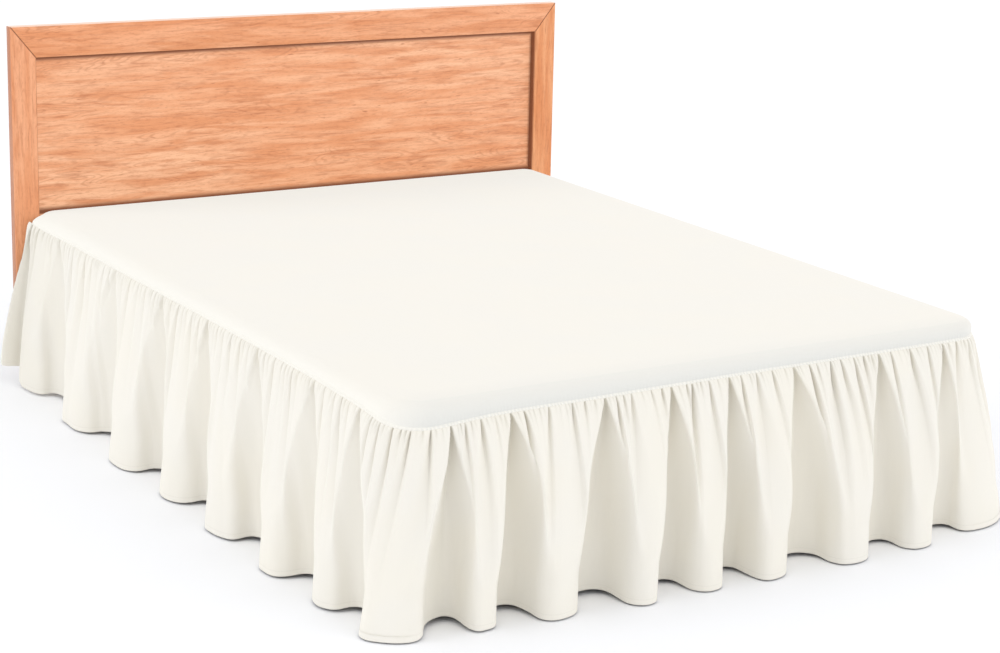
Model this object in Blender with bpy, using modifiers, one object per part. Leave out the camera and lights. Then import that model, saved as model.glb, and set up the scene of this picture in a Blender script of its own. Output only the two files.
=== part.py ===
"""Bed skirt with a gathered ruffle on a queen bed: platform cloth, ruffle, foundation, headboard, frame.

World frame, metres: X across the bed, Y from foot to head, Z up, the floor at z = 0.
Bed coordinates have their zero at the middle of the foot seam, and ROW_SHIFT moves them to the
middle of the whole object's box.
"""
from collections import namedtuple
from math import cos, pi, radians, sin

import bmesh
import bpy
from mathutils import Vector

# Bed and skirt sizes
BED_WIDTH = 1.524
BED_LENGTH = 2.030
DECK_TOP_Z = 0.454
SEAM_Z = 0.4148
HEM_Z = 0.009
FOOT_CORNER_R = 0.090
HEAD_CORNER_R = 0.060
ROW_SHIFT = Vector((0.0, -0.9511, 0.0))

# Platform cloth: how its edge rolls over the foundation, and the seam ridge under it
CLOTH = 0.0015
EDGE_IN = 0.034
EDGE_FALL = 0.0305
RIDGE_R = 0.0028
RIDGE_Z = 0.4185
RIDGE_HALF_ANGLE = radians(75)
RIDGE_ROOT_IN = 0.0006
PROFILE_STEPS = 6

# Ruffle
RUFFLE_HEAD_Y = 1.996
FLANK_STEEPNESS = 0.88
COLUMNS_PER_HALF_FOLD = 6
RUFFLE_ROWS = 6
HEAD_LIFT = 0.050
HEAD_LIFT_LENGTH = 0.045
PANEL_GAP = 0.0003

# Foundation (box spring)
FOUNDATION_BOTTOM_Z = 0.247
FOUNDATION_IN = 0.0170
FOUNDATION_EDGE_IN = 0.030
FOUNDATION_EDGE_FALL = 0.030
FOUNDATION_STEPS = 5

# Headboard: mitred frame round a recessed panel
BOARD_HALF_WIDTH = 0.8224
BOARD_INNER_HALF = 0.756
BOARD_TOP_Z = 0.9415
BOARD_RAIL_LOW_Z = 0.8594
BOARD_FOOT_Z = 0.070
BOARD_DEPTH = 0.030
PANEL_RECESS = 0.022
PANEL_CLEARANCE = 0.0004
PANEL_Y = BED_LENGTH + RIDGE_R + PANEL_CLEARANCE
LOW_RAIL_Z = (0.120, 0.2464)

# Bed frame under the foundation
RAIL_LOW_Z = 0.147
RAIL_THICK = 0.025
RAIL_OUT_X = 0.725
FRAME_FOOT_Y = 0.030
LEG_SIDE = 0.045
LEG_ROWS_Y = (0.060, 1.005, 1.950)

GAP = 0.0003

# One row for each fold of the hem, from the head's left end round the foot to the head's right end.
# nose is where the fold stands out most and valley is where the hem comes back after it. The two
# sides give these as Y and the foot as X. belly says how soon a fold fills out below the seam:
# 1 is a straight flare, and more is fuller near the top.
Fold = namedtuple("Fold", "nose nose_out valley valley_out belly")
HEAD_END_OUT = 0.100
HEAD_DIP_Y = 1.980
HEAD_DIP_OUT = 0.062
SIDE_BELLY = 1.35
LEFT_FOLDS = (
    Fold(1.953, 0.078, 1.750, 0.016, SIDE_BELLY),
    Fold(1.573, 0.092, 1.377, 0.017, SIDE_BELLY),
    Fold(1.219, 0.107, 1.075, 0.016, SIDE_BELLY),
    Fold(0.948, 0.095, 0.828, 0.013, SIDE_BELLY),
    Fold(0.691, 0.096, 0.537, 0.010, 1.45),
    Fold(0.415, 0.095, 0.296, 0.011, 1.45),
    Fold(0.185, 0.082, 0.093, 0.010, 1.55),
)
LEFT_CORNER_NOSE_DEG = 41
LEFT_CORNER_OUT = 0.112
LEFT_CORNER_BELLY = 1.7
FOOT_START_X = -0.6645
FOOT_START_OUT = 0.003
FOOT_START_BELLY = 2.0
FOOT_FOLDS = (
    Fold(-0.615, 0.092, -0.532, 0.006, 3.0),
    Fold(-0.451, 0.110, -0.325, 0.014, 2.1),
    Fold(-0.251, 0.127, -0.163, 0.034, 2.4),
    Fold(-0.090, 0.126, 0.001, 0.036, 1.9),
    Fold(0.063, 0.133, 0.188, 0.038, 2.1),
    Fold(0.282, 0.139, 0.404, 0.051, 2.1),
    Fold(0.466, 0.134, 0.583, 0.041, 2.2),
)
FOOT_LAST_NOSE_X = 0.661
FOOT_LAST_OUT = 0.108
RIGHT_CORNER_VALLEY_Y = 0.142
RIGHT_CORNER_VALLEY_OUT = 0.024
RIGHT_CORNER_BELLY = 1.15
RIGHT_FOLDS = (
    Fold(0.250, 0.090, 0.350, 0.014, SIDE_BELLY),
    Fold(0.465, 0.094, 0.590, 0.010, SIDE_BELLY),
    Fold(0.715, 0.107, 0.850, 0.012, SIDE_BELLY),
    Fold(0.985, 0.086, 1.110, 0.010, SIDE_BELLY),
    Fold(1.230, 0.093, 1.375, 0.012, SIDE_BELLY),
    Fold(1.500, 0.084, 1.640, 0.010, SIDE_BELLY),
    Fold(1.765, 0.090, 1.890, 0.016, SIDE_BELLY),
)
HEAD_END_RIGHT_OUT = 0.074


def clear_scene():
    for obj in list(bpy.data.objects):
        bpy.data.objects.remove(obj, do_unlink=True)


def material(name, colour, roughness, metallic=0.0):
    mat = bpy.data.materials.new(name)
    mat.use_nodes = True
    shader = mat.node_tree.nodes["Principled BSDF"]
    shader.inputs["Base Color"].default_value = (*colour, 1.0)
    shader.inputs["Roughness"].default_value = roughness
    shader.inputs["Metallic"].default_value = metallic
    return mat


def finish(obj, mat, collection):
    obj.data.materials.append(mat)
    collection.objects.link(obj)
    return obj


# ---------------------------------------------------------------- plan of the seam

SIDE_RUN = RUFFLE_HEAD_Y - FOOT_CORNER_R
CORNER_RUN = FOOT_CORNER_R * pi / 2
FOOT_RUN = BED_WIDTH - 2 * FOOT_CORNER_R
HALF = BED_WIDTH / 2


def seam_at(run):
    """Point and outward direction in plan, run metres along the ruffle from its left head end."""
    centre_x = HALF - FOOT_CORNER_R
    if run <= SIDE_RUN:
        return Vector((-HALF, RUFFLE_HEAD_Y - run, 0)), Vector((-1, 0, 0))
    run -= SIDE_RUN
    if run <= CORNER_RUN:
        turn = run / FOOT_CORNER_R
        out = Vector((-cos(turn), -sin(turn), 0))
        return Vector((-centre_x, FOOT_CORNER_R, 0)) + FOOT_CORNER_R * out, out
    run -= CORNER_RUN
    if run <= FOOT_RUN:
        return Vector((-centre_x + run, 0, 0)), Vector((0, -1, 0))
    run -= FOOT_RUN
    if run <= CORNER_RUN:
        turn = run / FOOT_CORNER_R
        out = Vector((sin(turn), -cos(turn), 0))
        return Vector((centre_x, FOOT_CORNER_R, 0)) + FOOT_CORNER_R * out, out
    run -= CORNER_RUN
    return Vector((HALF, FOOT_CORNER_R + run, 0)), Vector((1, 0, 0))


def left_run(y):
    return RUFFLE_HEAD_Y - y


def foot_run(x):
    return SIDE_RUN + CORNER_RUN + x + HALF - FOOT_CORNER_R


def right_run(y):
    return SIDE_RUN + 2 * CORNER_RUN + FOOT_RUN + y - FOOT_CORNER_R


# ---------------------------------------------------------------- the ruffle

def left_keys():
    """(run, out, belly) at the hem: every nose and valley of the left panel, in order."""
    keys = [(0.0, HEAD_END_OUT, SIDE_BELLY), (left_run(HEAD_DIP_Y), HEAD_DIP_OUT, SIDE_BELLY)]
    for fold in LEFT_FOLDS:
        keys.append((left_run(fold.nose), fold.nose_out, fold.belly))
        keys.append((left_run(fold.valley), fold.valley_out, fold.belly))
    corner = SIDE_RUN + FOOT_CORNER_R * radians(LEFT_CORNER_NOSE_DEG)
    keys.append((corner, LEFT_CORNER_OUT, LEFT_CORNER_BELLY))
    keys.append((foot_run(FOOT_START_X), FOOT_START_OUT, FOOT_START_BELLY))
    return keys


def foot_keys():
    keys = [(foot_run(FOOT_START_X), FOOT_START_OUT, FOOT_START_BELLY)]
    for fold in FOOT_FOLDS:
        keys.append((foot_run(fold.nose), fold.nose_out, fold.belly))
        keys.append((foot_run(fold.valley), fold.valley_out, fold.belly))
    keys.append((foot_run(FOOT_LAST_NOSE_X), FOOT_LAST_OUT, RIGHT_CORNER_BELLY))
    corner_valley = right_run(RIGHT_CORNER_VALLEY_Y)
    keys.append((corner_valley, RIGHT_CORNER_VALLEY_OUT, RIGHT_CORNER_BELLY))
    return keys


def right_keys():
    corner_valley = right_run(RIGHT_CORNER_VALLEY_Y)
    keys = [(corner_valley, RIGHT_CORNER_VALLEY_OUT, RIGHT_CORNER_BELLY)]
    for fold in RIGHT_FOLDS:
        keys.append((right_run(fold.nose), fold.nose_out, fold.belly))
        keys.append((right_run(fold.valley), fold.valley_out, fold.belly))
    keys.append((right_run(RUFFLE_HEAD_Y), HEAD_END_RIGHT_OUT, SIDE_BELLY))
    return keys


def ruffle_point(keys, column, down):
    """Point of the ruffle: column counts along the hem's folds, down is 0 at the seam, 1 at the hem."""
    last = len(keys) - 2
    index = min(int(column // COLUMNS_PER_HALF_FOLD), last)
    part = column / COLUMNS_PER_HALF_FOLD - index
    run_a, out_a, belly_a = keys[index]
    run_b, out_b, belly_b = keys[index + 1]
    even = run_a + (run_b - run_a) * part
    folded = even + (run_b - run_a) * FLANK_STEEPNESS * sin(2 * pi * part) / (2 * pi)
    out_at_hem = out_a + (out_b - out_a) * (1 - cos(pi * part)) / 2
    grown = 1 - (1 - down) ** (belly_a + (belly_b - belly_a) * part)
    point, outward = seam_at(even + (folded - even) * grown)
    hem = HEM_Z
    if even < HEAD_LIFT_LENGTH:
        hem += HEAD_LIFT * (1 - even / HEAD_LIFT_LENGTH)
    z = SEAM_Z + (hem - SEAM_Z) * down
    return point + outward * out_at_hem * grown + Vector((0, 0, z)) + ROW_SHIFT


def ruffle_panel(name, keys, mat, collection):
    """A gathered panel: a grid laid on the folds, then given the cloth's thickness."""
    columns = COLUMNS_PER_HALF_FOLD * (len(keys) - 1)
    mesh = bpy.data.meshes.new(name)
    bm = bmesh.new()
    bmesh.ops.create_grid(bm, x_segments=columns, y_segments=RUFFLE_ROWS, size=0.5)
    start_gap = PANEL_GAP / (keys[1][0] - keys[0][0]) * COLUMNS_PER_HALF_FOLD
    for vert in bm.verts:
        column = (vert.co.x + 0.5) * columns
        column = max(column, start_gap)
        vert.co = ruffle_point(keys, column, 0.5 - vert.co.y)
    bm.to_mesh(mesh)
    bm.free()
    obj = bpy.data.objects.new(name, mesh)
    solid = obj.modifiers.new("cloth thickness", "SOLIDIFY")
    solid.thickness = CLOTH
    solid.offset = -1
    return finish(obj, mat, collection)


# ---------------------------------------------------------------- rings round the bed

def bed_outline(inset, arc_steps=8):
    """Plan of the bed's edge, anticlockwise from above, inset metres inside the seam line."""
    corners = (
        (1, 0, HEAD_CORNER_R, 0),
        (-1, 0, HEAD_CORNER_R, 90),
        (-1, 1, FOOT_CORNER_R, 180),
        (1, 1, FOOT_CORNER_R, 270),
    )
    points = []
    for side, at_foot, radius, start in corners:
        y = radius if at_foot else BED_LENGTH - radius
        centre = Vector((side * (HALF - radius), y, 0))
        for step in range(arc_steps + 1):
            angle = radians(start + 90 * step / arc_steps)
            points.append(centre + (radius - inset) * Vector((cos(angle), sin(angle), 0)))
    return points


def rings_solid(name, profile, close_bottom, mat, collection):
    """Skin through the bed's outline at each (inset, z) of a profile, closed by a flat top."""
    mesh = bpy.data.meshes.new(name)
    bm = bmesh.new()
    rings = []
    for inset, z in profile:
        ring = [bm.verts.new(p + Vector((0, 0, z)) + ROW_SHIFT) for p in bed_outline(inset)]
        rings.append(ring)
    count = len(rings[0])
    for low, high in zip(rings, rings[1:]):
        for i in range(count):
            j = (i + 1) % count
            bm.faces.new((low[i], low[j], high[j], high[i]))
    bm.faces.new(rings[-1])
    if close_bottom:
        bm.faces.new(list(reversed(rings[0])))
    bm.to_mesh(mesh)
    bm.free()
    return finish(bpy.data.objects.new(name, mesh), mat, collection)


def deck_panel(mat, collection):
    """Platform cloth: flat over the foundation, rolled over its edge, ending in the seam's ridge."""
    profile = [(RIDGE_ROOT_IN, SEAM_Z + GAP)]
    for step in range(PROFILE_STEPS + 1):
        angle = RIDGE_HALF_ANGLE * (2 * step / PROFILE_STEPS - 1)
        profile.append((-RIDGE_R * cos(angle), RIDGE_Z + RIDGE_R * sin(angle)))
    for step in range(PROFILE_STEPS + 1):
        angle = pi / 2 * step / PROFILE_STEPS
        z = DECK_TOP_Z - EDGE_FALL * (1 - sin(angle))
        profile.append((EDGE_IN * (1 - cos(angle)), z))
    obj = rings_solid("deck_panel", profile, False, mat, collection)
    solid = obj.modifiers.new("cloth thickness", "SOLIDIFY")
    solid.thickness = CLOTH
    solid.offset = -1
    return obj


def foundation(mat, collection):
    """Box spring: upright sides and a rounded top edge that stays clear of the cloth."""
    top = DECK_TOP_Z - CLOTH - GAP
    profile = [(FOUNDATION_IN, FOUNDATION_BOTTOM_Z)]
    for step in range(FOUNDATION_STEPS + 1):
        angle = pi / 2 * step / FOUNDATION_STEPS
        inset = FOUNDATION_IN + FOUNDATION_EDGE_IN * (1 - cos(angle))
        profile.append((inset, top - FOUNDATION_EDGE_FALL * (1 - sin(angle))))
    return rings_solid("foundation", profile, True, mat, collection)


# ---------------------------------------------------------------- boards

def box(name, low, high, mat, collection):
    mesh = bpy.data.meshes.new(name)
    bm = bmesh.new()
    bmesh.ops.create_cube(bm, size=1.0)
    low = Vector(low)
    high = Vector(high)
    for vert in bm.verts:
        share = vert.co + Vector((0.5, 0.5, 0.5))
        vert.co = Vector(low[i] + (high[i] - low[i]) * share[i] for i in range(3))
    bm.to_mesh(mesh)
    bm.free()
    obj = bpy.data.objects.new(name, mesh)
    obj.location = ROW_SHIFT
    return finish(obj, mat, collection)


def board(name, outline, front_y, depth, mat, collection):
    """A flat board that faces the foot: its outline in X and Z, front_y its front face."""
    curve = bpy.data.curves.new(name, "CURVE")
    curve.dimensions = "2D"
    curve.fill_mode = "BOTH"
    curve.extrude = depth / 2
    spline = curve.splines.new("POLY")
    spline.points.add(len(outline) - 1)
    for point, (x, z) in zip(spline.points, outline):
        point.co = (x, z, 0, 1)
    spline.use_cyclic_u = True
    obj = bpy.data.objects.new(name, curve)
    obj.rotation_euler = (pi / 2, 0, 0)
    obj.location = ROW_SHIFT + Vector((0, front_y + depth / 2, 0))
    return finish(obj, mat, collection)


def headboard(mat, collection):
    front = PANEL_Y - PANEL_RECESS
    low, high = LOW_RAIL_Z
    inner, outer = BOARD_INNER_HALF, BOARD_HALF_WIDTH
    for side, sign in (("left", -1), ("right", 1)):
        outline = (
            (sign * inner, BOARD_FOOT_Z),
            (sign * outer, BOARD_FOOT_Z),
            (sign * outer, BOARD_TOP_Z - GAP),
            (sign * inner, BOARD_RAIL_LOW_Z - GAP),
        )
        board(f"headboard_stile_{side}", outline, front, BOARD_DEPTH, mat, collection)
    top_rail = (
        (-inner, BOARD_RAIL_LOW_Z),
        (inner, BOARD_RAIL_LOW_Z),
        (outer, BOARD_TOP_Z),
        (-outer, BOARD_TOP_Z),
    )
    board("headboard_top_rail", top_rail, front, BOARD_DEPTH, mat, collection)
    x = inner - GAP
    box("headboard_low_rail", (-x, front, low), (x, front + BOARD_DEPTH, high), mat, collection)
    panel_low = high + GAP
    panel_high = BOARD_RAIL_LOW_Z - GAP
    back = front + BOARD_DEPTH
    box("headboard_panel", (-x, PANEL_Y, panel_low), (x, back, panel_high), mat, collection)


def bed_frame(mat, collection):
    """Rails under the foundation on six short legs; the head rail is bolted to the headboard."""
    top = FOUNDATION_BOTTOM_Z - GAP
    head = PANEL_Y - PANEL_RECESS - GAP
    x = RAIL_OUT_X
    foot_inner = FRAME_FOOT_Y + RAIL_THICK
    head_inner = head - RAIL_THICK
    box("frame_foot_rail", (-x, FRAME_FOOT_Y, RAIL_LOW_Z), (x, foot_inner, top), mat, collection)
    box("frame_head_rail", (-x, head_inner, RAIL_LOW_Z), (x, head, top), mat, collection)
    long_y = (foot_inner + GAP, head_inner - GAP)
    long_rails = (
        ("frame_side_rail_left", -x, -x + RAIL_THICK),
        ("frame_side_rail_right", x - RAIL_THICK, x),
        ("frame_centre_rail", -RAIL_THICK / 2, RAIL_THICK / 2),
    )
    for name, x0, x1 in long_rails:
        box(name, (x0, long_y[0], RAIL_LOW_Z), (x1, long_y[1], top), mat, collection)
    legs = (("left", -x + LEG_SIDE / 2), ("centre", 0.0), ("right", x - LEG_SIDE / 2))
    for name, leg_x in legs:
        for number, leg_y in enumerate(LEG_ROWS_Y, start=1):
            half = LEG_SIDE / 2
            low = (leg_x - half, leg_y - half, 0.0)
            high = (leg_x + half, leg_y + half, RAIL_LOW_Z - GAP)
            box(f"frame_leg_{name}_{number}", low, high, mat, collection)


def build():
    clear_scene()
    collection = bpy.data.collections.new("bed skirt on a bed")
    bpy.context.scene.collection.children.link(collection)
    cloth = material("ivory cloth", (0.86, 0.84, 0.77), 0.9)
    ticking = material("white ticking", (0.80, 0.80, 0.78), 0.9)
    wood = material("cherry wood", (0.62, 0.27, 0.12), 0.45)
    plain_wood = material("plain pine", (0.66, 0.48, 0.30), 0.6)
    deck_panel(cloth, collection)
    ruffle_panel("ruffle_left", left_keys(), cloth, collection)
    ruffle_panel("ruffle_foot", foot_keys(), cloth, collection)
    ruffle_panel("ruffle_right", right_keys(), cloth, collection)
    foundation(ticking, collection)
    headboard(wood, collection)
    bed_frame(plain_wood, collection)


build()
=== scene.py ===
"""Gathered bed skirt on a bed with a plain wooden headboard: the visual model.

Metres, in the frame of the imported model: X across the bed, Y from the foot to the head, Z up.
The tables of folds give places in bed coordinates, whose zero is the middle of the foot seam.
"""
from collections import namedtuple
from math import cos, pi, radians, sin, tan

import bmesh
import bpy
import numpy as np
from mathutils import Matrix, Vector


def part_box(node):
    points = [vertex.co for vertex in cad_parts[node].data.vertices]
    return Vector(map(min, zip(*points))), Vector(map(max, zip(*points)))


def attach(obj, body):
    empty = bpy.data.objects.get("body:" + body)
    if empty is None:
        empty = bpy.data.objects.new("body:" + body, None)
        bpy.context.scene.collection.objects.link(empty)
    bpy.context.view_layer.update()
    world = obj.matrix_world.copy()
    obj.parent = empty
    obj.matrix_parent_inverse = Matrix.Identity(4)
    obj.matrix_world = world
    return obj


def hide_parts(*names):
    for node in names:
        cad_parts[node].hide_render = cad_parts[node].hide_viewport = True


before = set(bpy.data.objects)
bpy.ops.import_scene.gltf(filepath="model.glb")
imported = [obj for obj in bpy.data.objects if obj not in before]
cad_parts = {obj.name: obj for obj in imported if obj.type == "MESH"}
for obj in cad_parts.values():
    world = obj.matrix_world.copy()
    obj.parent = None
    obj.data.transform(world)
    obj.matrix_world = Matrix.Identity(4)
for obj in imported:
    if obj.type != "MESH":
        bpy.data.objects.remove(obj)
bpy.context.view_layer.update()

# ---------------------------------------------------------------- camera
# Where the photograph was taken from, solved from the bed's straight edges. The small lens shift
# keeps the bed's upright edges close to upright, as the photograph has them.
PHOTO_SIZE = (1000, 653)
PHOTO_CENTRE = (600.0, 262.0)
FOCAL_PIXELS = 2339.25
SENSOR_WIDTH = 36.0
CAMERA_PLACE = (-2.8134, -4.7684, 1.7663)
YAW, PITCH, ROLL = radians(33.2524), radians(13.1394), radians(1.8392)

lens = bpy.data.cameras.new("camera")
lens.sensor_width = SENSOR_WIDTH
lens.lens = FOCAL_PIXELS * SENSOR_WIDTH / PHOTO_SIZE[0]
lens.shift_x = (PHOTO_SIZE[0] / 2 - PHOTO_CENTRE[0]) / PHOTO_SIZE[0]
lens.shift_y = (PHOTO_CENTRE[1] - PHOTO_SIZE[1] / 2) / PHOTO_SIZE[0]
ahead = Vector((sin(YAW) * cos(PITCH), cos(YAW) * cos(PITCH), -sin(PITCH)))
level = Vector((cos(YAW), -sin(YAW), 0))
upright = level.cross(ahead)
across = cos(ROLL) * level + sin(ROLL) * upright
turned = Matrix((across, (-ahead).cross(across), -ahead)).transposed().to_4x4()
camera = bpy.data.objects.new("camera", lens)
camera.matrix_world = Matrix.Translation(CAMERA_PLACE) @ turned
bpy.context.scene.collection.objects.link(camera)
bpy.context.scene.camera = camera

# ---------------------------------------------------------------- platform cloth
# A flat sheet of ivory cotton laid over the foundation. It rolls over the edge and ends in a raised
# seam, where the ruffle's gathered top is sewn in, so that the seam's own line is puckered.

# From bed coordinates to the model's frame
BED_SHIFT = np.array([0.0, -0.9511, 0.0])
HALF_WIDTH = 0.762
BED_LENGTH = 2.030
FOOT_CORNER_R = 0.090
HEAD_CORNER_R = 0.050
DECK_TOP = 0.454
# How the cloth rolls over the foundation's edge, the seam's ridge, and how it tucks in below that
EDGE_IN = 0.034
EDGE_FALL = 0.0305
RIDGE_R = 0.0034
RIDGE_Z = 0.4185
RIDGE_HALF_ANGLE = 75
TUCK_IN, TUCK_DOWN = 0.0012, 0.0032
# At the head the edge keeps this clear of the headboard
HEAD_GAP = 0.0016
# Where the ruffle ends at the head, and the lengths of the seam from there to there, part by part
RUFFLE_HEAD_Y = 1.996
SIDE_RUN = RUFFLE_HEAD_Y - FOOT_CORNER_R
CORNER_RUN = FOOT_CORNER_R * pi / 2
FOOT_RUN = 2 * (HALF_WIDTH - FOOT_CORNER_R)
WHOLE_RUN = 2 * SIDE_RUN + 2 * CORNER_RUN + FOOT_RUN


def seam_plan(run):
    """Points and outward directions in plan, run metres along the seam from its left head end."""
    foot_at = SIDE_RUN + CORNER_RUN
    turned = np.clip(run - SIDE_RUN, 0, CORNER_RUN) + np.clip(run - foot_at - FOOT_RUN, 0, CORNER_RUN)
    turn = turned / FOOT_CORNER_R
    outward = np.stack([-np.cos(turn), -np.sin(turn)], -1)
    centre_x = np.clip(run - foot_at, 0, FOOT_RUN) - HALF_WIDTH + FOOT_CORNER_R
    along_right = np.clip(run - foot_at - FOOT_RUN - CORNER_RUN, 0, None)
    centre_y = FOOT_CORNER_R + np.clip(SIDE_RUN - run, 0, None) + along_right
    return np.stack([centre_x, centre_y], -1) + FOOT_CORNER_R * outward, outward


# How far along the seam a place on the left side, the left corner, the foot or the right side lies
def left_run(y):
    return RUFFLE_HEAD_Y - y


def corner_run(degrees):
    return SIDE_RUN + FOOT_CORNER_R * radians(degrees)


def foot_run(x):
    return SIDE_RUN + CORNER_RUN + x + HALF_WIDTH - FOOT_CORNER_R


def right_run(y):
    return SIDE_RUN + 2 * CORNER_RUN + FOOT_RUN + y - FOOT_CORNER_R


# The seam isn't quite level or straight: run along it, how far it lifts, how far it stands out
SEAM_WANDER = np.array([
    (left_run(2.120), 0.026, 0.038),
    (left_run(1.990), 0.016, 0.028),
    (left_run(1.930), -0.001, 0.009),
    (left_run(1.840), -0.001, 0.001),
    (left_run(1.440), 0.001, 0.000),
    (left_run(1.140), 0.003, 0.000),
    (left_run(0.890), 0.006, 0.000),
    (left_run(0.350), 0.005, 0.000),
    (left_run(0.150), 0.000, 0.000),
    (left_run(0.075), -0.006, 0.000),
    (corner_run(45.0), -0.018, 0.000),
    (foot_run(-0.640), -0.010, 0.000),
    (foot_run(-0.540), -0.003, 0.000),
    (foot_run(-0.300), -0.002, 0.000),
    (foot_run(0.050), 0.002, 0.000),
    (foot_run(0.600), 0.004, 0.000),
    (right_run(0.045), 0.001, -0.015),
    (right_run(0.300), 0.001, -0.003),
    (right_run(0.500), 0.000, 0.000),
    (right_run(1.200), -0.002, 0.000),
    (right_run(1.996), 0.000, 0.004),
])


def seam_wander(run):
    """Lift and stand-out of the seam, smoothed between the table's rows."""
    samples, smoothing, beyond = 1200, 41, 0.2
    fine = np.linspace(-beyond, WHOLE_RUN + beyond, samples)
    kernel = np.hanning(smoothing) / np.hanning(smoothing).sum()
    found = []
    for column in (1, 2):
        rough = np.interp(fine, SEAM_WANDER[:, 0], SEAM_WANDER[:, column])
        soft = np.convolve(np.pad(rough, smoothing // 2, mode="edge"), kernel, mode="valid")
        found.append(np.interp(run, fine, soft))
    return found


def cloth_grid(name, points, flat):
    """Quads through rows of points, smooth, with the flat cloth's own metres as the UV map."""
    rows, columns = points.shape[:2]
    index = np.arange(rows * columns).reshape(rows, columns)
    corners = (index[:-1, :-1], index[1:, :-1], index[1:, 1:], index[:-1, 1:])
    quads = np.stack(corners, -1).reshape(-1, 4)
    mesh = bpy.data.meshes.new(name)
    mesh.from_pydata(points.reshape(-1, 3).tolist(), [], quads.tolist())
    layer = mesh.uv_layers.new(name="flat cloth")
    layer.data.foreach_set("uv", flat.reshape(-1, 2)[quads.ravel()].ravel())
    mesh.polygons.foreach_set("use_smooth", np.ones(len(quads), bool))
    obj = bpy.data.objects.new(name, mesh)
    bpy.context.scene.collection.objects.link(obj)
    return obj


def point_levels(obj, name, levels):
    """Gives each point of the cloth a level from 0 to 1, which its material reads by name."""
    layer = obj.data.attributes.new(name, "FLOAT", "POINT")
    layer.data.foreach_set("value", levels.ravel())


class Wire:
    """A socket of a material: operators on it add Math nodes, and node() adds any other node."""

    def __init__(self, tree, socket=None):
        self.tree, self.socket = tree, socket

    def node(self, kind, settings=None, sockets=None, out=0):
        node = self.tree.nodes.new("ShaderNode" + kind)
        for key, value in (settings or {}).items():
            setattr(node, key, value)
        for key, value in (sockets or {}).items():
            if isinstance(value, Wire):
                self.tree.links.new(value.socket, node.inputs[key])
            else:
                node.inputs[key].default_value = value
        return Wire(self.tree, node.outputs[out])

    def maths(self, operation, *values):
        return self.node("Math", {"operation": operation}, dict(enumerate(values)))

    def __add__(self, other):
        return self.maths("ADD", self, other)

    __radd__ = __add__

    def __mul__(self, other):
        return self.maths("MULTIPLY", self, other)

    __rmul__ = __mul__

    def __sub__(self, other):
        return self.maths("SUBTRACT", self, other)

    def __rsub__(self, other):
        return self.maths("SUBTRACT", other, self)

    def __lt__(self, other):
        return self.maths("LESS_THAN", self, other)

    def __gt__(self, other):
        return self.maths("GREATER_THAN", self, other)

    def __abs__(self):
        return self.maths("ABSOLUTE", self)

    def sine(self):
        return self.maths("SINE", self)

    def larger(self, other):
        return self.maths("MAXIMUM", self, other)

    def parts(self):
        """The X, Y and Z of this vector."""
        separate = self.node("SeparateXYZ", None, {0: self}).socket.node
        return [Wire(self.tree, output) for output in separate.outputs]

    def point_level(self, name):
        return self.node("Attribute", {"attribute_name": name}, None, out=2)

    def noise(self, scale, detail=2.0, roughness=0.5, distortion=0.0):
        sockets = {"Vector": self, "Scale": scale, "Detail": detail}
        sockets.update({"Roughness": roughness, "Distortion": distortion})
        return self.node("TexNoise", None, sockets)

    def stretched(self, scale):
        return self.node("VectorMath", {"operation": "MULTIPLY"}, {0: self, 1: scale})

    def spread(self, low, high):
        """This value's range low to high laid out softly over 0 to 1."""
        return self.node("MapRange", {"interpolation_type": "SMOOTHSTEP"}, {0: self, 1: low, 2: high})

    def tint(self, colour_a, colour_b):
        """Colour a where this value is 0, colour b where it is 1."""
        sockets = {0: self}
        for slot_number, colour in ((6, colour_a), (7, colour_b)):
            sockets[slot_number] = colour if isinstance(colour, Wire) else (*colour, 1.0)
        return self.node("Mix", {"data_type": "RGBA"}, sockets, out=2)

    def bump(self, strength, distance):
        """The shading of a surface with this height."""
        return self.node("Bump", None, {"Strength": strength, "Distance": distance, "Height": self})


def new_material(name, **constants):
    """A material whose Principled shader has these constant sockets; returns it, a Wire and the shader."""
    material = bpy.data.materials.new(name)
    material.use_nodes = True
    shader = material.node_tree.nodes["Principled BSDF"]
    for key, value in constants.items():
        shader.inputs[key.replace("_", " ")].default_value = value
    return material, Wire(material.node_tree), shader


def feed(shader, **wires):
    for key, wire in wires.items():
        wire.tree.links.new(wire.socket, shader.inputs[key.replace("_", " ")])


# The cloth's thread, how closely slubs lie along it, up it and through it, and the hem's stitches
THREAD = 0.00045
SLUBS_PER_METRE = (700.0, 9.0, 1.0)
SLUB_COLOUR = (0.80, 0.77, 0.70)
STITCH = 0.0032
STITCH_HALF_WIDTH = 0.0009
STITCH_COLOUR = (0.70, 0.67, 0.60)


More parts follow.
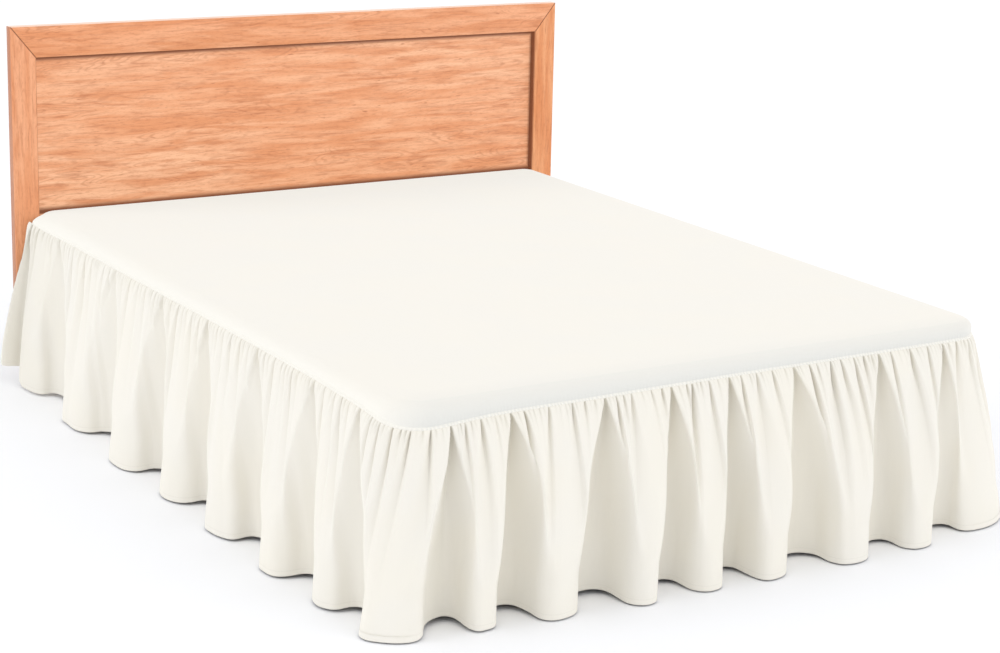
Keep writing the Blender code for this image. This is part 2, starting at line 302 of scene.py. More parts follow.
def cotton(name, ivory, ivory_cool, painted_shade_colour, painted_shade_share, painted_edge_highlight=None, hem_height=None):
    """Ivory plain-weave cotton: crossed threads, faint slubs, painted shade, an optional painted highlight
    on an edge, and a row of stitches above a hem.
    """
    material, start, shader = new_material(name, Sheen_Weight=0.15, Sheen_Roughness=0.5, IOR=1.45)
    flat = start.node("UVMap", {"uv_map": "flat cloth"})
    along, up, _ = flat.parts()
    weave = (along * (2 * pi / THREAD)).sine() * (up * (2 * pi / THREAD)).sine()
    slubs = flat.stretched(SLUBS_PER_METRE).noise(1.0, detail=3.0)
    colour = flat.noise(5.0, detail=2.0).spread(0.35, 0.65).tint(ivory, ivory_cool)
    colour = (slubs.spread(0.25, 0.75) * 0.08).tint(colour, SLUB_COLOUR)
    # A painted highlight where the cloth rolls over an edge
    if painted_edge_highlight is not None:
        colour = start.point_level("edge").tint(colour, painted_edge_highlight)
    # Painted shade, as strong as each point's level of it says
    colour = (start.point_level("painted_shade") * painted_shade_share).tint(colour, painted_shade_colour)
    relief = weave * 0.5 + slubs * 0.8
    if hem_height is not None:
        in_row = up.maths("COMPARE", up, hem_height, STITCH_HALF_WIDTH)
        stitch = in_row * ((along * (2 * pi / STITCH)).sine() > -0.3)
        colour = (stitch * 0.35).tint(colour, STITCH_COLOUR)
        relief = relief - stitch * 1.5
    feed(shader, Base_Color=colour, Roughness=slubs * 0.1 + 0.82, Normal=relief.bump(0.35, 0.00012))
    return material


OUTLINE_STEP = 0.0020
HEAD_CORNER_STEPS = 13


def deck_outline():
    """The bed's edge in plan, anticlockwise from above, its outward direction, and the seam's run there."""
    run = np.arange(0.0, WHOLE_RUN, OUTLINE_STEP)
    points, outward = seam_plan(run)
    before_corners = points[:, 1] <= BED_LENGTH - HEAD_CORNER_R
    plan, out, runs = [points[before_corners]], [outward[before_corners]], [run[before_corners]]
    corner = np.linspace(0, pi / 2, HEAD_CORNER_STEPS + 1)
    for side, turn, seam_end in ((1, corner[1:], WHOLE_RUN), (-1, corner[:0:-1], 0.0)):
        directions = np.stack([side * np.cos(turn), np.sin(turn)], -1)
        centre = np.array([side * (HALF_WIDTH - HEAD_CORNER_R), BED_LENGTH - HEAD_CORNER_R])
        plan.append(centre + HEAD_CORNER_R * directions)
        out.append(directions)
        runs.append(np.full(len(turn), seam_end))
    return np.concatenate(plan), np.concatenate(out), np.concatenate(runs)


# The cloth as rings from its middle to under the seam. On the flat top, reach is how much of the way
# out a ring is. Below it, inset is how far inside the bed's edge, and share how far down that edge.
Ring = namedtuple("Ring", "part reach inset height share")
TOP_RINGS, EDGE_RINGS, RIDGE_RINGS = 14, 10, 9
rings = [Ring("top", reach, 0.0, 0.0, 0.0) for reach in np.linspace(0.0, 1.0, TOP_RINGS) ** 0.8]
for turn in np.radians(np.linspace(90, 0, EDGE_RINGS + 1)[1:]):
    fallen = 1 - sin(turn)
    rings.append(Ring("edge", 1.0, EDGE_IN * (1 - cos(turn)), DECK_TOP - EDGE_FALL * fallen, fallen))
for turn in np.radians(np.linspace(RIDGE_HALF_ANGLE, -RIDGE_HALF_ANGLE, RIDGE_RINGS)):
    rings.append(Ring("ridge", 1.0, -RIDGE_R * cos(turn), RIDGE_Z + RIDGE_R * sin(turn), 1.0))
rings.append(Ring("ridge", 1.0, TUCK_IN, RIDGE_Z - TUCK_DOWN, 1.0))

# Puckers along the seam: how long one is, and how far the cloth swells there
PUCKERS = 900
PUCKER_LENGTH = (0.0055, 0.0115)
RIDGE_SWELL, EDGE_SWELL = 0.0015, 0.0005
TOP_SAG = 0.0007


def shallow_waves(x, y):
    """The top isn't dead flat: long waves of about 1 in height, scaled by the sag."""
    return np.sin(3.1 * x + 1.3 * y) * np.sin(2.3 * y - 1.9 * x + 0.8) + 0.5 * np.sin(5.3 * y + 4.1 * x)


def closed(rows):
    """The rows with their first column again at the end, so that the cloth goes all the way round."""
    rows = np.array(rows)
    return np.concatenate([rows, rows[:, :1]], axis=1)


outline, outline_out, outline_run = deck_outline()
lift, stand = seam_wander(outline_run)
pucker_rng = np.random.default_rng(41)
pucker_ends = np.cumsum(pucker_rng.uniform(*PUCKER_LENGTH, PUCKERS))
pucker = 0.5 * (1 + np.cos(2 * pi * np.interp(outline_run, pucker_ends, np.arange(PUCKERS))))
at_head = np.clip(2.5 * outline_out[:, 1], 0, 1)
at_foot = np.clip(-outline_out[:, 1], 0, 1) ** 2
rim = outline - EDGE_IN * outline_out
middle = np.array([0.0, BED_LENGTH / 2])
# Where the cloth faces the foot, painted shade darkens its rim, its edge and the hollows between its
# puckers, and a painted highlight lies along the rolled edge all round
deck_rows, shade_rows, edge_highlight_rows = [], [], []
for ring in rings:
    row = np.empty((len(outline), 3))
    if ring.part == "top":
        row[:, :2] = middle + (rim - middle) * ring.reach
        row[:, 2] = DECK_TOP - TOP_SAG * (1 - ring.reach ** 4) * (1 + shallow_waves(row[:, 0], row[:, 1]))
        shade = 0.3 * ring.reach ** 30
    else:
        swell = (RIDGE_SWELL if ring.part == "ridge" else EDGE_SWELL * ring.share) * pucker
        place = (stand * ring.share + swell) * (1 - at_head) - ring.inset - HEAD_GAP * ring.share * at_head
        row[:, :2] = outline + outline_out * place[:, None]
        row[:, 2] = ring.height + lift * ring.share
        shade = 0.55 * (1 - pucker) if ring.part == "ridge" else 0.5 + 0.5 * ring.share
    deck_rows.append(row)
    shade_rows.append(shade * at_foot)
    edge_highlight_rows.append(np.full(len(outline), ring.share))
deck_points = closed(deck_rows) + BED_SHIFT
deck = cloth_grid("platform_cloth", deck_points, deck_points[..., :2].copy())
point_levels(deck, "painted_shade", closed(shade_rows))
point_levels(deck, "edge", closed(edge_highlight_rows))
joined = bmesh.new()
joined.from_mesh(deck.data)
bmesh.ops.remove_doubles(joined, verts=joined.verts, dist=1e-5)
joined.to_mesh(deck.data)
joined.free()
# The platform's cotton: its painted shade is a cool grey, and its edge's painted highlight a brighter cream
deck_cotton = cotton(
    "ivory cotton, platform",
    ivory=(0.862, 0.832, 0.760),
    ivory_cool=(0.855, 0.829, 0.764),
    painted_shade_colour=(0.745, 0.745, 0.71),
    painted_shade_share=1.0,
    painted_edge_highlight=(0.888, 0.868, 0.800),
)
deck.data.materials.append(deck_cotton)
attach(deck, "root")
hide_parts("deck_panel")

# ---------------------------------------------------------------- ruffle
# Three widths of the same cotton, gathered along the top to about two thirds of their length and
# sewn under the seam. The gathers run together into deep folds, and the hem is turned up and sewn.
SEAM_Z = 0.4182
HEM_Z = 0.0038
FULL_DROP = SEAM_Z - HEM_Z
# The hem hangs higher in the valleys than under a fold that stands out fully, and at the head's end
VALLEY_LIFT, FULL_FOLD_OUT = 0.009, 0.1
HEAD_LIFT, HEAD_LIFT_LENGTH = 0.052, 0.050
# How steep the folds' flanks are, how soon they lean over to their place at the hem, and how far the
# cloth puffs out under the seam
FLANK_STEEPNESS = 0.85
LEAN_POWER = 1.6
PUFF_OUT = 0.0026
COLUMN_STEP = 0.0014
# Where the three widths are joined, each in a deep valley
LEFT_JOIN_X = -0.649
RIGHT_JOIN_Y = 0.125

# One row for each fold: where its nose and the valley after it are at the hem and at the seam, how
# far each stands out at the hem, and how soon the fold fills out below the seam
Fold = namedtuple("Fold", "nose nose_top nose_out valley valley_top valley_out belly")
LEFT_FOLDS = (
    Fold(1.953, 1.930, 0.078, 1.715, 1.831, 0.016, 1.35),
    Fold(1.573, 1.640, 0.092, 1.365, 1.447, 0.017, 1.35),
    Fold(1.219, 1.300, 0.107, 1.062, 1.154, 0.016, 1.35),
    Fold(0.948, 1.020, 0.095, 0.805, 0.896, 0.013, 1.35),
    Fold(0.691, 0.765, 0.096, 0.523, 0.632, 0.010, 1.45),
    Fold(0.415, 0.490, 0.095, 0.287, 0.356, 0.011, 1.45),
    Fold(0.185, 0.250, 0.082, 0.088, 0.154, 0.010, 1.55),
)
FOOT_FOLDS = (
    Fold(-0.615, -0.585, 0.092, -0.532, -0.514, 0.006, 3.0),
    Fold(-0.451, -0.400, 0.110, -0.325, -0.290, 0.014, 2.1),
    Fold(-0.251, -0.205, 0.127, -0.163, -0.127, 0.034, 2.4),
    Fold(-0.090, -0.052, 0.126, 0.001, 0.021, 0.036, 1.9),
    Fold(0.063, 0.095, 0.133, 0.188, 0.191, 0.038, 2.1),
    Fold(0.282, 0.305, 0.139, 0.404, 0.426, 0.051, 2.1),
    Fold(0.466, 0.495, 0.134, 0.583, 0.612, 0.041, 2.2),
)
RIGHT_FOLDS = (
    Fold(0.250, 0.240, 0.090, 0.350, 0.330, 0.014, 1.35),
    Fold(0.465, 0.440, 0.094, 0.590, 0.560, 0.010, 1.35),
    Fold(0.715, 0.690, 0.105, 0.850, 0.825, 0.012, 1.35),
    Fold(0.985, 0.955, 0.086, 1.110, 1.080, 0.010, 1.35),
    Fold(1.230, 1.215, 0.093, 1.375, 1.350, 0.012, 1.35),
    Fold(1.500, 1.490, 0.084, 1.640, 1.625, 0.010, 1.35),
    Fold(1.765, 1.755, 0.090, 1.890, 1.885, 0.016, 1.35),
)
# Every nose and valley in turn: its run at the seam and at the hem, how far out it is there, its belly
Key = namedtuple("Key", "seam_run hem_run out belly")
LEFT_CORNER = (
    Key(corner_run(66), corner_run(41), 0.112, 1.0),
    Key(foot_run(LEFT_JOIN_X), foot_run(-0.6645), 0.003, 1.5),
)
RIGHT_CORNER = (
    Key(foot_run(0.668), foot_run(0.661), 0.099, 1.10),
    Key(right_run(RIGHT_JOIN_Y), right_run(0.142), 0.017, 1.10),
)
LEFT_HEAD_END = (Key(0.0, 0.0, 0.115, 1.35), Key(left_run(1.978), left_run(1.982), 0.064, 1.35))
RIGHT_HEAD_END = (Key(WHOLE_RUN, WHOLE_RUN, 0.074, 1.35),)


def keys_of(folds, run_of):
    keys = []
    for fold in folds:
        keys.append(Key(run_of(fold.nose_top), run_of(fold.nose), fold.nose_out, fold.belly))
        keys.append(Key(run_of(fold.valley_top), run_of(fold.valley), fold.valley_out, fold.belly))
    return keys


KEYS = np.array([
    *LEFT_HEAD_END, *keys_of(LEFT_FOLDS, left_run),
    *LEFT_CORNER, *keys_of(FOOT_FOLDS, foot_run),
    *RIGHT_CORNER, *keys_of(RIGHT_FOLDS, right_run), *RIGHT_HEAD_END,
])

# A valley is a slit at the seam and fully open this far below it. It also sinks in a little under the
# seam, within the first of these drops, and comes out again by the second.
MAIN_OPEN, MAIN_SLIT = 0.340, 0.025
MAIN_SINK, SINKS_WITHIN, BACK_OUT_BY = 0.0080, 0.012, 0.20
# Creases are sharp near the seam and soft this far below it
SOFT_LENGTH = 0.27
# A gather's top stands up by this share of its crease's depth, nearer to one side of it than the other
PLATEAU_LIFT = 0.30
PEAK_AT = (0.14, 0.36)
# Gathers of four sizes: pitch, how deep their creases are, the drops over which the creases sink in,
# fade and open out, and how open they are at the seam. The largest have no pitch, because they lie
# between the listed creases.
Gather = namedtuple("Gather", "pitch depth rise fade opens slit")
GATHERS = (
    Gather(None, 0.0115, 0.0150, 0.280, 0.200, 0.04),
    Gather(0.042, 0.0090, 0.0070, 0.150, 0.100, 0.06),
    Gather(0.021, 0.0042, 0.0030, 0.046, 0.036, 0.14),
    Gather(0.0105, 0.0024, 0.0015, 0.018, 0.016, 0.35),
)
# Soft streaks down the lower cloth: their pitch, how high they stand and how they slant, and the drop
# by which they have come up
STREAKS = ((0.070, 0.0014, 0.05), (0.041, 0.0007, -0.07))
STREAKS_UP_BY = 0.12

# The creases that show most: where they leave the seam, and how deep they are beside a usual one
Crease = namedtuple("Crease", "run depth")
USUAL_DEPTH = 0.009
LEFT_CREASES = (
    (1.831, 0.007), (1.640, 0.004), (1.447, 0.010), (1.345, 0.004), (1.252, 0.005), (1.154, 0.010),
    (1.055, 0.004), (0.975, 0.004), (0.896, 0.010), (0.800, 0.004), (0.714, 0.006), (0.632, 0.010),
    (0.541, 0.006), (0.454, 0.007), (0.356, 0.010), (0.305, 0.006), (0.229, 0.006), (0.154, 0.010),
    (0.099, 0.006),
)
CORNER_CREASES = ((12, 0.005), (32, 0.006), (54, 0.005), (78, 0.006))
FOOT_CREASES = (
    (LEFT_JOIN_X, 0.010), (-0.581, 0.006), (-0.514, 0.012), (-0.482, 0.005), (-0.424, 0.006),
    (-0.369, 0.006), (-0.290, 0.012), (-0.226, 0.006), (-0.127, 0.008), (-0.074, 0.008),
    (-0.031, 0.007), (0.021, 0.012), (0.092, 0.006), (0.191, 0.009), (0.234, 0.008), (0.292, 0.007),
    (0.356, 0.005), (0.426, 0.012), (0.460, 0.005), (0.515, 0.005), (0.566, 0.006), (0.612, 0.011),
    (0.655, 0.005),
)
CREASES = [Crease(left_run(y), depth) for y, depth in LEFT_CREASES]
CREASES += [Crease(corner_run(degrees), depth) for degrees, depth in CORNER_CREASES]
CREASES += [Crease(foot_run(x), depth) for x, depth in FOOT_CREASES]
CREASES.append(Crease(right_run(RIGHT_JOIN_Y), 0.009))
# The right side doesn't show: a crease in each valley, one near each nose and one between
gather_rng = np.random.default_rng(7)
for fold in RIGHT_FOLDS:
    CREASES.append(Crease(right_run(fold.valley_top), 0.010))
    CREASES.append(Crease(right_run(fold.nose_top + gather_rng.uniform(-0.03, 0.03)), 0.005))
    CREASES.append(Crease(right_run((fold.nose_top + fold.valley_top) / 2), 0.005))
CREASES.sort()


def split_gathers(edges, pitch):
    """Finer gathers: each stretch between two edges cut into uneven parts of about the pitch."""
    cut = [edges[0]]
    for low, high in zip(edges, edges[1:]):
        count = max(1, round((high - low) / pitch))
        widths = gather_rng.uniform(0.65, 1.35, count)
        cut.extend(low + (high - low) * np.cumsum(widths) / widths.sum())
    return np.array(cut)


def opened(side, below, opens, slit):
    """Height up a crease's side, 0 to 1: the crease is a slit at the seam and opens out below it."""
    share = np.clip(side / np.clip(slit + below / opens, 0, 1), 0, 1)
    soft = np.clip(below / SOFT_LENGTH, 0.15, 1)
    return share + ((1 - np.cos(pi * share)) / 2 - share) * soft


def gather_layer(place, edges, strength, gather, below):
    """How deep each place is in its crease: ridges lean toward the crease before them."""
    index = np.clip(np.searchsorted(edges, place, side="right") - 1, 0, len(edges) - 2)
    peak = gather_rng.uniform(*PEAK_AT, len(edges))[index]
    share = (place - edges[index]) / np.diff(edges)[index]
    side = np.where(share < peak, share / peak, (1 - share) / (1 - peak))
    nearest = np.where(share < peak, strength[index], strength[index + 1])
    return nearest * (1 - opened(side, below, gather.opens, gather.slit)), index


def gathers(place, below, side, relief):
    """Adds the gathers on the folds' outer faces to the relief; also says how deep each place lies."""
    edges = np.array([0.0] + [crease.run for crease in CREASES] + [WHOLE_RUN])
    strength = np.array([1.0] + [crease.depth / USUAL_DEPTH for crease in CREASES] + [1.0])
    up_flank = side / np.clip(MAIN_SLIT + below / MAIN_OPEN, 0, 1)
    on_fold = np.clip((up_flank - 0.7) / 0.5, 0, 1)
    pleated = 0.0
    for gather in GATHERS:
        if gather.pitch is not None:
            edges = split_gathers(edges, gather.pitch)
            strength = 0.25 + 1.45 * gather_rng.uniform(0, 1, len(edges)) ** 1.8
        crease, index = gather_layer(place, edges, strength, gather, below)
        reach = gather.fade * (0.55 + 0.45 * np.maximum(strength[index], strength[index + 1]))
        kept = np.exp(-((below / reach) ** 1.6)) * on_fold
        relief = relief + gather.depth * (1 - np.exp(-below / gather.rise)) * kept * (PLATEAU_LIFT - crease)
        # How deep each place lies in its crease, for the painted shade
        pleated = pleated + crease * kept * (0.30 + 0.5 * np.exp(-below / 0.012))
    return relief, pleated


def soft_streaks(place, below, relief):
    """Adds the long soft waves that come up below the gathers to the relief."""
    for pitch, swing, slant in STREAKS:
        steps = np.cumsum(gather_rng.uniform(0.6, 1.4, int(2 * WHOLE_RUN / pitch)) * pitch)
        waves = np.interp(place + slant * below, np.concatenate([[-1.0], steps]), np.arange(-1, len(steps)))
        relief = relief + swing * np.sin(2 * pi * waves) * (1 - np.exp(-((below / STREAKS_UP_BY) ** 2)))
    return relief


# Painted shade in the hollows between the cloth on both sides: how wide, how deep at their darkest, and how
# dark that is
HOLLOWS = ((0.020, 0.004, 0.23), (0.060, 0.010, 0.12))


def painted_shade_level(nose_share, pleated, below, hem_run, level):
    """How much painted shade each place gets, 0 to 1: in the folds' valleys and creases, as a painted
    shadow of the headboard, and in hollows between the cloth on both sides.
    """
    # Painted shade in the folds' valleys, darkest near the seam
    in_valley = (1 - nose_share) * (0.12 + 0.44 * np.exp(-below / 0.030))
    # A painted shadow of the headboard on the ruffle near the left head end
    painted_headboard_shadow = np.exp(-((hem_run / 0.20) ** 2)) * np.clip(hem_run / 0.04, 0, 1)
    painted_shade = in_valley + pleated * 0.6 + 0.20 * painted_headboard_shadow
    for width, depth, share in HOLLOWS:
        count = int(width / COLUMN_STEP) | 1
        kernel = np.hanning(count + 2)[1:-1]
        padded = np.pad(level, ((0, 0), (count // 2, count // 2)), mode="edge")
        around = np.array([np.convolve(row, kernel / kernel.sum(), mode="valid") for row in padded])
        painted_shade = painted_shade + share * np.clip((around - level) / depth, 0, 1)
    return np.clip(painted_shade, 0, 1)


def drop_rows():
    """How far below the seam each row of points lies: closest together at the gathers and the hem."""
    first_step, growth, longest_step, hem_from = 0.0018, 0.05, 0.012, 0.380
    near_hem = (0.22, 0.42, 0.52, 0.60, 0.68, 0.80, 0.92, 1.0)
    drops = [0.0]
    while drops[-1] < hem_from:
        drops.append(drops[-1] + min(first_step + growth * drops[-1], longest_step))
    last = drops[-1]
    drops += [last + (FULL_DROP - last) * share for share in near_hem]
    return np.array(drops)[:, None]


def ruffle_surface():
    """Rows of points down the whole ruffle, from the left head end round the foot to the right one."""
    place = np.arange(0.0, WHOLE_RUN + COLUMN_STEP / 2, COLUMN_STEP)
    down = drop_rows() / FULL_DROP
    below = down * FULL_DROP

    index = np.clip(np.searchsorted(KEYS[:, 0], place, side="right") - 1, 0, len(KEYS) - 2)
    seam_run, hem_run, key_out, belly = KEYS[index].T
    next_seam_run, next_hem_run, next_out, next_belly = KEYS[index + 1].T
    part = (place - seam_run) / (next_seam_run - seam_run)
    at_hem = hem_run + (next_hem_run - hem_run) * part
    steep = (next_hem_run - hem_run) * FLANK_STEEPNESS * np.sin(2 * pi * part) / (2 * pi)
    between = (1 - np.cos(pi * part)) / 2
    side = np.where(next_out > key_out, part, 1 - part)
    nose_share = opened(side, below, MAIN_OPEN, MAIN_SLIT)
    low, high = np.minimum(key_out, next_out), np.maximum(key_out, next_out)
    out = low + (high - low) * nose_share
    grown = 1 - (1 - down) ** (belly + (next_belly - belly) * between)
    lean = (1 - down) ** LEAN_POWER
    lift, stand = seam_wander(place)
    plan, outward = seam_plan(at_hem + (place - at_hem) * lean + steep * grown)
    puff = PUFF_OUT * (1 - down) ** 2
    plan = plan + outward * (out * grown + stand * (1 - down) + puff)[..., None]

    sinking = (1 - np.exp(-below / SINKS_WITHIN)) * np.exp(-((below / BACK_OUT_BY) ** 1.6))
    relief, pleated = gathers(place, below, side, -MAIN_SINK * sinking * (1 - nose_share))
    relief = soft_streaks(place, below, relief)
    tangent = np.gradient(plan, axis=1)
    tangent /= np.linalg.norm(tangent, axis=-1, keepdims=True)
    plan = plan + np.stack([tangent[..., 1], -tangent[..., 0]], -1) * relief[..., None]

    hem = HEM_Z + VALLEY_LIFT * (1 - np.clip(out[-1] / FULL_FOLD_OUT, 0, 1))
    hem = hem + HEAD_LIFT * np.clip(1 - at_hem / HEAD_LIFT_LENGTH, 0, 1)
    top = SEAM_Z + lift
    height = top + (hem - top) * down
    painted_shade = painted_shade_level(nose_share, pleated, below, at_hem, out * grown + puff + relief)
    return place, down, np.concatenate([plan, height[..., None]], -1), painted_shade


# The hem's turn: how far each row is inside and above the lower edge, and past it on the flat cloth
HEM_FOLD = 0.012
HemRow = namedtuple("HemRow", "inside rise past_edge")
HEM_TURN = (
    HemRow(0.0004, -0.0006, 0.0006),
    HemRow(0.0012, -0.0006, 0.0014),
    HemRow(0.0016, 0.0004, 0.0022),
    HemRow(0.0016, HEM_FOLD, HEM_FOLD),
)


def turned_hem(points):
    """The hem's allowance: the cloth turned round a small edge and back up on the inside."""
    tangent = np.gradient(points[-1, :, :2], axis=0)
    tangent /= np.linalg.norm(tangent, axis=-1, keepdims=True)
    inward = np.stack([-tangent[:, 1], tangent[:, 0]], -1)
    extra = []
    for turn in HEM_TURN:
        row = points[-1].copy()
        row[:, :2] += inward * turn.inside
        row[:, 2] += turn.rise
        extra.append(row)
    return np.concatenate([points, np.array(extra)])


place, down, ruffle, painted_shade = ruffle_surface()
painted_shade = np.concatenate([painted_shade, painted_shade[-1:].repeat(len(HEM_TURN), axis=0)])
ruffle = turned_hem(ruffle) + BED_SHIFT
hem_steps = np.linalg.norm(np.diff(ruffle[len(down) - 1], axis=0), axis=1)
flat_x = np.concatenate([[0.0], np.cumsum(hem_steps)])
flat_y = np.concatenate([(1 - down[:, 0]) * FULL_DROP, [-turn.past_edge for turn in HEM_TURN]])
flat = np.stack(np.broadcast_arrays(flat_x[None, :], flat_y[:, None]), -1)
# The ruffle's cotton, whose painted shade in the hollows is a warm grey-brown
ruffle_cotton = cotton(
    "ivory cotton, ruffle",
    ivory=(0.868, 0.836, 0.752),
    ivory_cool=(0.860, 0.833, 0.762),
    painted_shade_colour=(0.58, 0.545, 0.455),
    painted_shade_share=0.75,
    hem_height=HEM_FOLD - 0.001,
)
joins = (0.0, foot_run(LEFT_JOIN_X), right_run(RIGHT_JOIN_Y), WHOLE_RUN)
for name, start, end in zip(("left", "foot", "right"), joins, joins[1:]):
    low, high = np.searchsorted(place, start - 1e-6), np.searchsorted(place, end - 1e-6)
    high = min(high, len(place) - 1)
    panel = cloth_grid(f"ruffle_{name}_cloth", ruffle[:, low:high + 1], flat[:, low:high + 1])
    point_levels(panel, "painted_shade", painted_shade[:, low:high + 1])
    panel.data.materials.append(ruffle_cotton)
    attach(panel, "root")
    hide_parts(f"ruffle_{name}")

# ---------------------------------------------------------------- foundation
# The box spring under the platform cloth, covered in plain white ticking. It is the CAD solid, and
# only the ticking's woven finish is added.
ticking, start, shader = new_material("white ticking", Roughness=0.85)
weave = start.node("TexCoord", None, None, out=3).noise(900.0, detail=2.0)
colour = weave.spread(0.3, 0.7).tint((0.80, 0.80, 0.78), (0.74, 0.74, 0.72))
feed(shader, Base_Color=colour, Normal=weave.bump(0.3, 0.0003))
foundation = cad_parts["foundation"]
foundation.data.materials.clear()
foundation.data.materials.append(ticking)

# ---------------------------------------------------------------- headboard
# A flat board of glued cherry staves in a mitred frame of the same wood, with a clear satin finish.
# The panel sits back from the frame, each board's edges are eased, and the joints show as fine lines.
# Shade in the headboard's corners and on the frame's sides is painted into the colour, as is a highlight
# along the frame's top
FRAME_FRONT_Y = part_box("headboard_stile_left")[0][1]
PANEL_FRONT_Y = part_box("headboard_panel")[0][1]
FRAME_OUT_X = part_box("headboard_stile_right")[1][0]
FRAME_IN_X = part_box("headboard_stile_right")[0][0]
FRAME_TOP_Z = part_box("headboard_top_rail")[1][2]
RAIL_LOW_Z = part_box("headboard_top_rail")[0][2]
EASED_EDGE = 0.0012
# The colours on a board's face, the painted highlight along the frame's top edge, and the dark of the
# joints and of the painted shade in corners
CHERRY_PALE, CHERRY, CHERRY_DEEP = (0.97, 0.53, 0.31), (0.80, 0.335, 0.155), (0.84, 0.31, 0.12)
CHERRY_DARK = (0.44, 0.12, 0.035)
PAINTED_TOP_HIGHLIGHT = (0.98, 0.86, 0.74)
JOINT_AND_PAINTED_SHADE = (0.21, 0.055, 0.012)


def wood(name, along, pale, ground, deep, dark):
    """Wood with its grain along X or Z; returns the material, its place in space, colour and shader."""
    material, start, shader = new_material(name, IOR=1.5)
    spot = start.node("TexCoord", None, None, out=3)

    def grain(with_it, across):
        stretch = {"X": (with_it, across, across), "Z": (across, across, with_it)}[along]
        return spot.stretched(stretch)

    bands = grain(3.8, 38.0).noise(1.0, detail=4.0, roughness=0.6, distortion=0.5)
    streaks = grain(13.0, 165.0).noise(1.0, detail=3.0, roughness=0.65, distortion=0.3)
    arches = grain(4.6, 30.0).noise(1.0, detail=1.0, roughness=0.4, distortion=0.5)
    rings = (arches * 85.0).sine()
    patches = grain(3.0, 16.0).noise(1.0, detail=3.0, roughness=0.6)
    pores = grain(70.0, 700.0).noise(1.0, detail=2.0, roughness=0.6)
    flecks = grain(26.0, 150.0).noise(1.0, detail=2.0)
    broad = grain(1.1, 4.0).noise(1.0, detail=1.0)
    colour = bands.spread(0.35, 0.65).tint(pale, ground)
    colour = (broad.spread(0.40, 0.66) * 0.26).tint(colour, deep)
    colour = (streaks.spread(0.46, 0.72) * 0.42).tint(colour, dark)
    colour = (rings.spread(0.2, 1.0) * patches.spread(0.44, 0.62) * 0.30).tint(colour, dark)
    colour = (pores.spread(0.52, 0.72) * 0.38).tint(colour, dark)
    colour = (flecks.spread(0.70, 0.78) * 0.60).tint(colour, dark)
    relief = pores * 0.6 + streaks * 0.4
    feed(shader, Roughness=pores * 0.15 + 0.36, Normal=relief.bump(0.3, 0.0004))
    return material, spot, colour, shader


def panel_painted_shade(sideways, depth, height):
    """How much painted shade darkens the panel's front beside the uprights, under the top rail and just
    above the cloth.
    """
    beside = 1.0 - (FRAME_IN_X - sideways).spread(0.0, 0.010)
    under = 1.0 - (RAIL_LOW_Z - height).spread(0.004, 0.017)
    near_cloth = (height - (DECK_TOP - 0.006)).spread(-0.010, -0.004)
    above_cloth = (1.0 - (height - DECK_TOP).spread(-0.006, 0.010)) * near_cloth
    return (beside * 0.75).larger(under.larger(above_cloth)) * (depth < PANEL_FRONT_Y + 0.002)


def frame_joints_and_painted_shade(sideways, depth, height, set_back):
    """How dark the frame is in its mitre lines, which are dark joints, and in painted shade on the inner
    edges that face the panel.
    """
    frame_wide, rail_high = FRAME_OUT_X - FRAME_IN_X, FRAME_TOP_Z - RAIL_LOW_Z
    skew = (sideways - FRAME_IN_X) * rail_high - (height - RAIL_LOW_Z) * frame_wide
    apart = abs(skew * (1 / float(np.hypot(frame_wide, rail_high))))
    mitre = (1.0 - apart.spread(0.0006, 0.0022)) * (depth < FRAME_FRONT_Y + 0.002)
    mitre = mitre * (height > RAIL_LOW_Z)
    below_rail = height < RAIL_LOW_Z + 0.0004
    inner_side = (sideways < FRAME_IN_X + 0.0004) * below_rail
    inner_rim = (1.0 - (sideways - FRAME_IN_X).spread(0.0004, 0.0024)) * 0.5
    return (mitre * 0.8).larger((set_back * inner_side).larger(inner_rim * below_rail))


def cherry(name, part, along, pale, ground):
    """Cherry for one board, with its dark joint lines and the painted shade and highlight that its place in
    the headboard gives the colour.
    """
    material, spot, colour, shader = wood(name, along, pale, ground, CHERRY_DEEP, CHERRY_DARK)
    across_bed, depth, height = spot.parts()
    sideways = abs(across_bed)
    if part == "panel":
        # painted shade beside the uprights, under the top rail and just above the cloth
        colour = panel_painted_shade(sideways, depth, height).tint(colour, JOINT_AND_PAINTED_SHADE)
    elif part != "low_rail":
        set_back = depth.spread(FRAME_FRONT_Y + 0.0012, FRAME_FRONT_Y + 0.006)
        # a painted highlight along the frame's top edge
        colour = ((height > FRAME_TOP_Z - 0.0010) * 0.55).tint(colour, PAINTED_TOP_HIGHLIGHT)
        # painted shade on the frame's outer sides
        colour = ((sideways > FRAME_OUT_X - 0.0008) * set_back * 0.5).tint(colour, JOINT_AND_PAINTED_SHADE)
        # the dark mitre joints, and painted shade on the inner edges
        colour = frame_joints_and_painted_shade(sideways, depth, height, set_back).tint(colour, JOINT_AND_PAINTED_SHADE)
    feed(shader, Base_Color=colour)
    return material


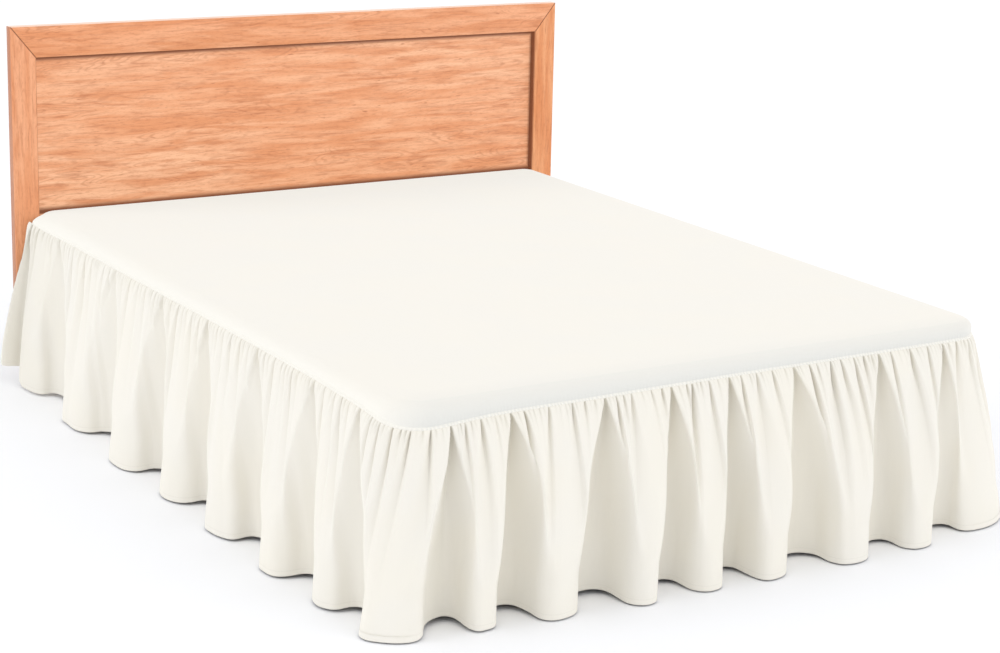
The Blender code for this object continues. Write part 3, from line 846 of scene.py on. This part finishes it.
Board = namedtuple("Board", "part along pale ground")
for board in (
    Board("stile_left", "Z", (0.90, 0.45, 0.25), (0.77, 0.315, 0.145)),
    Board("stile_right", "Z", (0.88, 0.395, 0.18), (0.76, 0.275, 0.10)),
    Board("top_rail", "X", (0.92, 0.45, 0.245), (0.78, 0.31, 0.135)),
    Board("low_rail", "X", CHERRY_PALE, CHERRY),
    Board("panel", "X", CHERRY_PALE, CHERRY),
):
    node_name = f"headboard_{board.part}"
    shape = bmesh.new()
    shape.from_mesh(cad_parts[node_name].data)
    bmesh.ops.remove_doubles(shape, verts=shape.verts, dist=1e-5)
    bmesh.ops.dissolve_limit(shape, angle_limit=radians(1), verts=shape.verts, edges=shape.edges)
    sharp = [edge for edge in shape.edges if edge.is_manifold and edge.calc_face_angle() > radians(30)]
    bmesh.ops.bevel(
        shape, geom=sharp, offset=EASED_EDGE, segments=3, profile=0.5, affect="EDGES", clamp_overlap=True
    )
    board_mesh = bpy.data.meshes.new(f"{node_name}_board")
    shape.to_mesh(board_mesh)
    shape.free()
    board_mesh.shade_smooth()
    board_mesh.set_sharp_from_angle(angle=radians(40))
    piece = bpy.data.objects.new(f"{node_name}_board", board_mesh)
    bpy.context.scene.collection.objects.link(piece)
    # the boards' warm colour doesn't show on the cloth in the photograph, so they don't bounce it
    piece.visible_diffuse = False
    board_cherry = cherry(f"cherry, {node_name}", board.part, board.along, board.pale, board.ground)
    piece.data.materials.append(board_cherry)
    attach(piece, "root")
    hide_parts(node_name)

# ---------------------------------------------------------------- bed frame
# Plain sanded pine rails and short legs, hidden behind the ruffle. They are the CAD solids, and only
# the grain is added, along each rail or up each leg.
PINE_PALE, PINE = (0.78, 0.60, 0.38), (0.68, 0.49, 0.28)
PINE_DEEP, PINE_DARK = (0.66, 0.46, 0.25), (0.45, 0.28, 0.12)
for node_name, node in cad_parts.items():
    if node_name.startswith("frame_"):
        along = "Z" if "leg" in node_name else "X"
        pine, _, colour, shader = wood(
            f"pine, {node_name}", along, PINE_PALE, PINE, PINE_DEEP, PINE_DARK
        )
        feed(shader, Base_Color=colour)
        node.data.materials.clear()
        node.data.materials.append(pine)

# ---------------------------------------------------------------- floor and light
# A plain white floor and soft, nearly shadowless studio light: a bright room all round, a little
# dimmer behind the camera, and two wide soft suns, the stronger from the left and one from the foot.
FLOOR_REACH = 40.0
floor_corners = [(x * FLOOR_REACH, y * FLOOR_REACH, 0) for x, y in ((-1, -1), (1, -1), (1, 1), (-1, 1))]
floor_mesh = bpy.data.meshes.new("floor")
floor_mesh.from_pydata(floor_corners, [], [(0, 1, 2, 3)])
floor = bpy.data.objects.new("floor", floor_mesh)
bpy.context.scene.collection.objects.link(floor)
floor_white, _, _ = new_material("white floor", Base_Color=(0.945, 0.955, 0.98, 1.0), Roughness=0.9)
floor.data.materials.append(floor_white)

DIM_BEARING = 225
world = bpy.data.worlds.new("studio")
bpy.context.scene.world = world
world.use_nodes = True
toward = Wire(world.node_tree).node("TexCoord", None, None, out=0)
dim_side = (cos(radians(DIM_BEARING)), sin(radians(DIM_BEARING)), 0.0)
facing = toward.node("VectorMath", {"operation": "DOT_PRODUCT"}, {0: toward, 1: dim_side}, out=1)
up_high = toward.parts()[2]
glow = up_high.spread(0.0, 0.9).tint((1.16, 1.16, 1.16), (0.92, 0.92, 0.93))
glow = facing.spread(0.1, 1.0).tint(glow, (0.88, 0.88, 0.89))
background = world.node_tree.nodes["Background"]
world.node_tree.links.new(glow.socket, background.inputs["Color"])
background.inputs["Strength"].default_value = 1.04

Sun = namedtuple("Sun", "name bearing height strength width")
for sun in (Sun("left", 164, 28, 0.44, 25), Sun("right", 300, 26, 0.34, 40)):
    light = bpy.data.lights.new(sun.name, "SUN")
    light.energy, light.angle = sun.strength, radians(sun.width)
    lamp = bpy.data.objects.new(sun.name, light)
    bearing, height = radians(sun.bearing), radians(sun.height)
    shining = -Vector((cos(bearing), sin(bearing), tan(height)))
    lamp.rotation_euler = shining.to_track_quat("-Z", "Y").to_euler()
    bpy.context.scene.collection.objects.link(lamp)
bpy.context.scene.view_settings.view_transform = "Standard"
